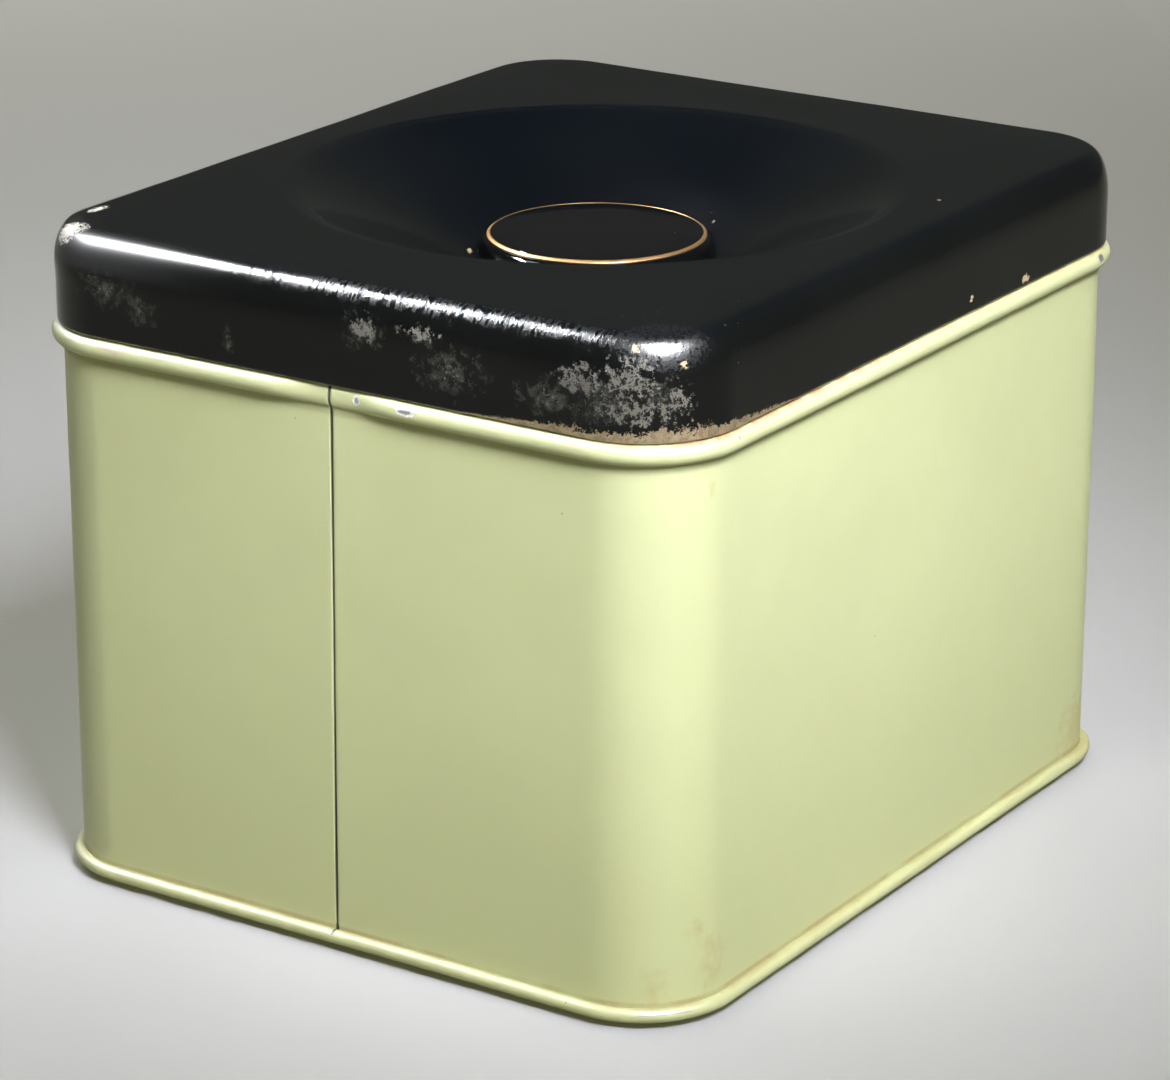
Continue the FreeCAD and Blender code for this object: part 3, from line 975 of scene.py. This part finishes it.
def black_enamel():
    paint = Paint("black_enamel", Specular_IOR_Level=0.5)
    cloud = paint.noise(30.0, 3.0)
    flake = paint.noise(1.5, 8.0, rough=0.72, seed=2.0)
    fine = paint.noise(0.55, 5.0, rough=0.72, seed=6.0)
    ragged = paint.grain(flake, 3.4)
    gritty = paint.grain(fine, 3.0)
    haze = paint.patches(SKIRT_HAZES, ragged, 0.30, 1.5)
    grit = paint.patches(SKIRT_HAZES, gritty, 0.95, 1.25)
    bare = bare_flakes(paint, flake, fine, ragged)
    hem = worn_hem(paint, flake, fine)
    cream = paint.most(*[paint.patch(c, r, gritty, *cut) for c, r, cut in CREAM_CHIPS])
    halo = paint.patch(*CREAM_HALO, ragged, 0.30, 1.2)
    tan = paint.patches(TAN_CHIPS, gritty, 0.40, 0.55)
    front, frost, glint, scratches = front_edge_wear(paint, fine)
    dust = lid_dust(paint)
    colour = paint.blend(paint.fade(cloud, 0.3, 0.7), BLACK, tuple(1.5 * c for c in BLACK))
    bare_steel = paint.blend(paint.fade(cloud, 0.4, 0.6), STEEL_DARK, STEEL_LIGHT)
    hem_steel = paint.blend(paint.fade(flake, 0.4, 0.65), HEM_LIGHT, HEM_DARK)
    layers = (
        (paint.times(haze, 0.42), HAZE_GREY),
        (paint.times(grit, 0.5), GRIT_GREY),
        (paint.times(bare, 0.9), bare_steel),
        (hem, hem_steel),
        (paint.times(halo, 0.6), HALO_GREY),
        (cream, PRIMER_CREAM),
        (tan, PRIMER_TAN),
        (paint.times(dust, 0.5), DUST),
    )
    for mask, over in layers:
        colour = paint.blend(mask, colour, over)
    metal = paint.most(paint.times(bare, 0.4), paint.times(hem, 0.5), paint.times(grit, 0.3))
    rough = paint.between(paint.fade(cloud, 0.3, 0.7), 0.11, 0.15)
    soft = paint.between(paint.fade(paint.x, -50.0, -10.0), 0.38, 0.13)
    rough = paint.between(front, rough, soft)
    rough = paint.between(frost, rough, 0.28)
    rough = paint.between(glint, rough, 0.32)
    rubbed = paint.most(paint.times(haze, 0.6), paint.times(grit, 0.7))
    rough = paint.between(rubbed, rough, 0.42)
    rough = paint.between(paint.most(bare, hem, cream, tan), rough, 0.46)
    height = paint.times(paint.noise(2.6, 2.0, seed=21.0), 0.006)
    height = paint.minus(height, paint.times(paint.most(bare, cream, tan), 0.03))
    height = paint.minus(height, scratches)
    height = paint.plus(height, paint.times(dust, 0.02))
    return paint.finish(colour, rough, metal, height)


def black_plastic():
    paint = Paint("black_plastic", Specular_IOR_Level=0.3)
    cloud = paint.noise(9.0, 3.0, seed=2.0)
    wipe = paint.noise(0.3, 2.0, stretch=(1, 18, 1), seed=5.0)
    dust = paint.specks(2.8, 3.5, (0.055, 0.03), (0.66, 0.7))
    colour = paint.blend(paint.fade(cloud, 0.3, 0.7), PLASTIC_DARK, PLASTIC_LIGHT)
    colour = paint.blend(paint.times(dust, 0.4), colour, DUST_DIM)
    rough = paint.between(paint.fade(wipe, 0.66, 0.76), 0.07, 0.20)
    rough = paint.between(dust, rough, 0.6)
    return paint.finish(colour, rough, 0.0, paint.times(cloud, 0.02))


def gilt():
    paint = Paint("gilt")
    worn = paint.noise(1.2, 5.0, seed=3.0)
    cloud = paint.fade(paint.noise(5.0, 2.0), 0.35, 0.65)
    gone = paint.fade(worn, 0.66, 0.72)
    colour = paint.blend(gone, paint.blend(cloud, GILT_LIGHT, GILT_DARK), GILT_GONE)
    rough = paint.between(worn, 0.30, 0.50)
    metal = paint.between(gone, 0.75, 0.1)
    return paint.finish(colour, rough, metal, paint.times(worn, 0.01))


def brass():
    paint = Paint("insert_brass", Metallic=1.0)
    turning = paint.noise(0.25, 2.0, stretch=(30, 30, 1), seed=3.0)
    tarnish = paint.noise(1.6, 4.0)
    colour = paint.blend(paint.fade(tarnish, 0.4, 0.7), BRASS_LIGHT, BRASS_DARK)
    rough = paint.between(turning, 0.22, 0.42)
    return paint.finish(colour, rough, None, paint.times(turning, 0.02))


def plated_steel():
    paint = Paint("plated_steel", Metallic=1.0)
    rub = paint.noise(0.4, 3.0, stretch=(1, 6, 1), seed=2.0)
    tarnish = paint.noise(1.3, 5.0, seed=6.0)
    spot = paint.fade(paint.noise(0.7, 4.0, seed=9.0), 0.66, 0.70)
    colour = paint.blend(paint.fade(tarnish, 0.45, 0.65), PLATE_LIGHT, PLATE_DARK)
    colour = paint.blend(spot, colour, PLATE_SPOT)
    rough = paint.between(spot, paint.between(rub, 0.25, 0.45), 0.8)
    return paint.finish(colour, rough, None, paint.times(rub, 0.01))


def floor_surface():
    paint = Paint("floor", Specular_IOR_Level=0.3)
    colour = paint.blend(paint.noise(260.0, 3.0), FLOOR_DARK, FLOOR_LIGHT)
    return paint.finish(colour, 0.6)


# ---------------------------------------------------------------- build


def place(piece, material, body, slot, *nodes):
    """Gives a piece its material, the body it rides on and the CAD nodes it replaces; its slot is not
    used.
    """
    piece.data.materials.clear()
    piece.data.materials.append(material)
    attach(piece, body)
    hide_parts(*nodes)


def build_object():
    green = green_enamel()
    black = black_enamel()
    bare = tinplate()
    body = make_body_wrap()
    place(body, green, "tin", "green_enamel", "body_wrap")
    base = make_base_panel()
    place(base, green, "tin", "green_enamel", "base_panel")
    lid = make_lid_shell()
    place(lid, black, "lid", "black_enamel", "lid_shell")
    knob = make_knob()
    place(knob, black_plastic(), "lid", "black_plastic", "knob")
    band = make_gilt_band()
    place(band, gilt(), "lid", "gilt", "knob_gilt_band")
    mark_inside(body, bare, inside_tin)
    mark_inside(base, bare, inside_base)
    mark_inside(lid, bare, inside_lid)
    steel = plated_steel()
    for node, material in (("knob_insert", brass()), ("knob_washer", steel), ("knob_screw", steel)):
        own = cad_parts[node]
        own.data.materials.clear()
        own.data.materials.append(material)


def add_floor():
    """Plain pale floor. It throws no light back onto the caddy, which keeps the walls' shading."""
    half = FLOOR_HALF
    corners = [(-half, -half, 0), (half, -half, 0), (half, half, 0), (-half, half, 0)]
    mesh = bpy.data.meshes.new("floor")
    mesh.from_pydata(corners, [], [(0, 1, 2, 3)])
    floor = bpy.data.objects.new("floor", mesh)
    floor.data.materials.append(floor_surface())
    floor.visible_diffuse = False
    bpy.context.scene.collection.objects.link(floor)


def add_softbox(
    name, seen_in, towards, distance, size, radiance, colour=WHITE, shape="RECTANGLE", aim=None
):
    """Area light in a direction from a place on the caddy, its face square to that or its aim."""
    spot = Vector(seen_in) + Vector(towards).normalized() * distance
    back = (spot - Vector(aim or seen_in)).normalized()
    width = (Vector((1, 0, 0)) - back * back.x).normalized()
    data = bpy.data.lights.new(name, "AREA")
    data.shape = shape
    data.size, data.size_y = size
    data.energy = radiance * math.pi * size[0] * size[1]
    data.color = colour
    light = bpy.data.objects.new(name, data)
    light.matrix_world = Matrix((width, back.cross(width), back)).transposed().to_4x4()
    light.location = spot
    bpy.context.scene.collection.objects.link(light)
    return light


def add_world():
    """Even room light, and a dimmer room that gloss mirrors: grey low down and blue overhead."""
    world = bpy.data.worlds.new("studio")
    world.use_nodes = True
    tree = world.node_tree
    coords = tree.nodes.new("ShaderNodeTexCoord")
    split = tree.nodes.new("ShaderNodeSeparateXYZ")
    rise = tree.nodes.new("ShaderNodeMapRange")
    mirrored = tree.nodes.new("ShaderNodeMix")
    mirrored.data_type = "RGBA"
    rise.inputs["From Min"].default_value = 0.35
    rise.inputs["From Max"].default_value = 0.85
    mirrored.inputs[6].default_value = (*MIRRORED_LOW, 1.0)
    mirrored.inputs[7].default_value = (*MIRRORED_HIGH, 1.0)
    rays = tree.nodes.new("ShaderNodeLightPath")
    room = tree.nodes.new("ShaderNodeMix")
    room.data_type = "RGBA"
    room.inputs[6].default_value = (*ROOM_LIGHT, 1.0)
    tree.links.new(coords.outputs["Generated"], split.inputs[0])
    tree.links.new(split.outputs[2], rise.inputs["Value"])
    tree.links.new(rise.outputs["Result"], mirrored.inputs[0])
    tree.links.new(rays.outputs["Is Glossy Ray"], room.inputs[0])
    tree.links.new(mirrored.outputs[2], room.inputs[7])
    tree.links.new(room.outputs[2], tree.nodes["Background"].inputs["Color"])
    bpy.context.scene.world = world


def add_lights():
    """World, key and fill, and three small softboxes that only gloss shows, for the lid's edge."""
    add_world()
    key = add_softbox(
        "key", NEAR_CORNER, CORNER_MIRRORS, 0.47, (0.26, 0.26), 2.52, KEY_TINT, "DISK", KEY_AIM
    )
    key.data.spread = math.radians(KEY_SPREAD)
    gleams = (
        ("gleam_bright", FRONT_EDGE, (-0.668, -0.13, 0.733), 0.6, (0.06, 0.31), 400.0, COOL),
        ("gleam_dim", EDGE_MIDDLE, (-0.535, -0.20, 0.820), 0.6, (0.115, 0.17), 14.0, BLUE),
        ("gleam_corner", NEAR_CORNER, CORNER_MIRRORS, 0.46, (0.17, 0.17), 150.0, COOL_CORNER, "DISK"),
    )
    for gleam in gleams:
        add_softbox(*gleam).visible_diffuse = False
    fill = add_softbox("back_fill", CADDY_MIDDLE, (-0.62, 0.66, 0.42), 1.3, (0.9, 0.9), 3.2)
    fill.visible_glossy = False


def add_camera():
    """Camera at the photograph's viewing angle, found by a fit to the outline."""
    azimuth = math.radians(CAMERA_AZIMUTH)
    elevation = math.radians(CAMERA_ELEVATION)
    level = math.cos(elevation)
    back = Vector((math.sin(azimuth) * level, -math.cos(azimuth) * level, math.sin(elevation)))
    right = Vector((math.cos(azimuth), math.sin(azimuth), 0.0))
    up = back.cross(right)
    turn = Matrix.Rotation(math.radians(CAMERA_ROLL), 3, back)
    axes = Matrix((turn @ right, turn @ up, back)).transposed()
    data = bpy.data.cameras.new("camera")
    data.lens = CAMERA_LENS
    data.sensor_width = CAMERA_SENSOR
    data.clip_start = 0.01
    camera = bpy.data.objects.new("camera", data)
    camera.matrix_world = axes.to_4x4()
    camera.location = right * CAMERA_SIDE + Vector((0, 0, CAMERA_AIM_Z)) + back * CAMERA_DISTANCE
    bpy.context.scene.collection.objects.link(camera)
    bpy.context.scene.camera = camera


build_object()
add_floor()
add_lights()
add_camera()
bpy.context.scene.view_settings.view_transform = "Standard"
bpy.context.view_layer.update()
